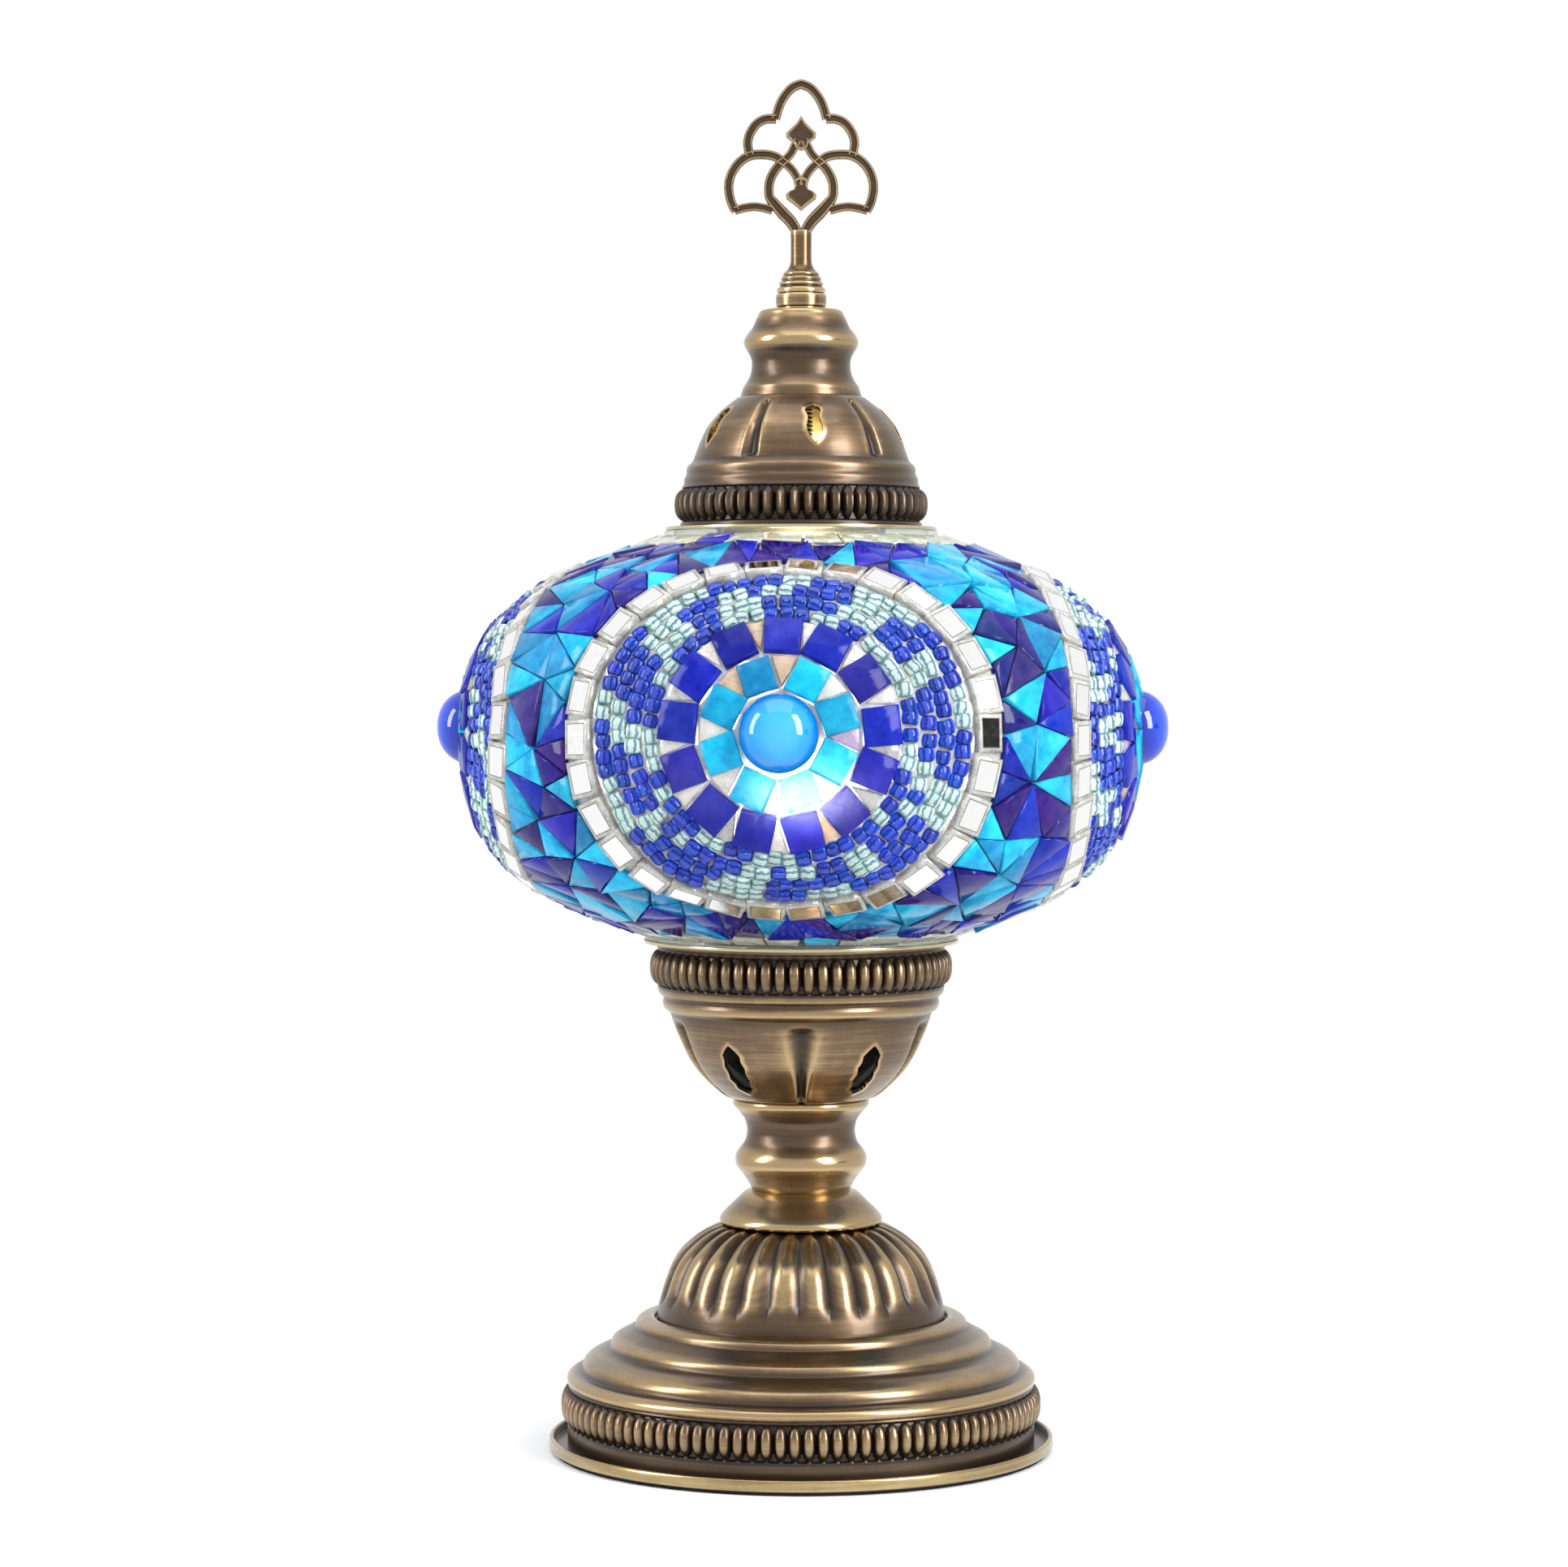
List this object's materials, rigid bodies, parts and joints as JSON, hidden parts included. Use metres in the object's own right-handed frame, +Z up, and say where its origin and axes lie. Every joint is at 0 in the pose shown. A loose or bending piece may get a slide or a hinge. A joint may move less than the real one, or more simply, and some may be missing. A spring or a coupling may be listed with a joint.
{
  "type": "table lamp",
  "caption": "Table lamp: a flattened mosaic glass globe on a stepped, turned brass foot, between a slotted bowl and a slotted cap, held down by a pierced palmette finial.",
  "frame": {"origin": "centre of the foot, on the surface the lamp stands on", "axes": "+Z up along the lamp's axis, front medallion and finial plate facing -Y, +X to the viewer's right"},
  "size_m": [0.1806, 0.1806, 0.3372],
  "materials": {
    "antique_brass": "antiqued: near-black in the recesses, relieved to warm brass on raised edges, fine turned lines, satin",
    "polished_brass": "satin to polished, lightly tarnished",
    "steel": "zinc-plated, dull",
    "felt": "pressed black felt",
    "rubber": "matt moulded",
    "phenolic": "moulded, low sheen",
    "clear_glass": "clear, glossy",
    "mosaic_glass": "hand-set tiles and beads in royal blue, turquoise, pale aqua and mirror, glossy",
    "cabochon_turquoise": "domed, glossy",
    "cabochon_blue": "domed, glossy"
  },
  "bodies": {
    "base": {"felt_pad": "felt", "base_tray": "polished_brass", "base_shell": "antique_brass", "cord_grommet": "rubber", "base_dome": "antique_brass", "base_collar": "antique_brass", "stem_neck": "antique_brass", "gallery_bowl": "antique_brass", "threaded_rod": "steel", "rod_washer_lower": "steel", "rod_nut_lower": "steel", "rod_washer_upper": "steel", "rod_nut_upper": "steel", "harp": "steel", "harp_stud": "steel", "harp_nut_lower": "steel", "harp_nut_upper": "steel", "socket_cap": "phenolic", "socket_body": "phenolic", "socket_screw_shell": "polished_brass", "socket_contact": "polished_brass", "terminal_screw_left": "polished_brass", "terminal_screw_right": "polished_brass"},
    "bulb_tip": {"bulb_tip": "polished_brass"},
    "bulb": {"bulb_cap": "polished_brass", "bulb_envelope": "clear_glass", "bulb_stem": "clear_glass"},
    "globe": {"glass_globe": "clear_glass", "mosaic_medallion_front": "mosaic_glass", "mosaic_medallion_right": "mosaic_glass", "mosaic_medallion_back": "mosaic_glass", "mosaic_medallion_left": "mosaic_glass", "mosaic_field": "mosaic_glass", "cabochon_front": "cabochon_turquoise", "cabochon_right": "cabochon_blue", "cabochon_back": "cabochon_blue", "cabochon_left": "cabochon_blue", "globe_ring_lower": "polished_brass", "globe_ring_upper": "polished_brass"},
    "cap": {"cap_dome": "antique_brass", "cap_neck": "antique_brass"},
    "finial_washer": {"finial_washer": "polished_brass"},
    "finial": {"finial_collar": "polished_brass", "finial_stem": "polished_brass", "finial_palmette": "antique_brass"}
  },
  "joints": [
    {"name": "bulb_rise", "type": "slide", "parent": "base", "child": "bulb_tip", "axis": [0, 0, 1], "range_m": [0, 0.0227]},
    {"name": "bulb_turn", "type": "hinge", "parent": "bulb_tip", "child": "bulb", "pos_m": [0, 0, 0.15], "axis": [0, 0, 1], "range_deg": [0, 2880]},
    {"name": "globe_lift", "type": "slide", "parent": "base", "child": "globe", "axis": [0, 0, 1], "range_m": [0, 0.17]},
    {"name": "cap_lift", "type": "slide", "parent": "globe", "child": "cap", "axis": [0, 0, 1], "range_m": [0, 0.062]},
    {"name": "finial_rise", "type": "slide", "parent": "cap", "child": "finial_washer", "axis": [0, 0, 1], "range_m": [0, 0.0082]},
    {"name": "finial_turn", "type": "hinge", "parent": "finial_washer", "child": "finial", "pos_m": [0, 0, 0.2815], "axis": [0, 0, 1], "range_deg": [0, 2880]}
  ],
  "couplings": [
    {"joint": "bulb_rise", "follows": "bulb_turn", "m_per_rad": 0.00044914},
    {"joint": "finial_rise", "follows": "finial_turn", "m_per_rad": 0.00015915}
  ]
}
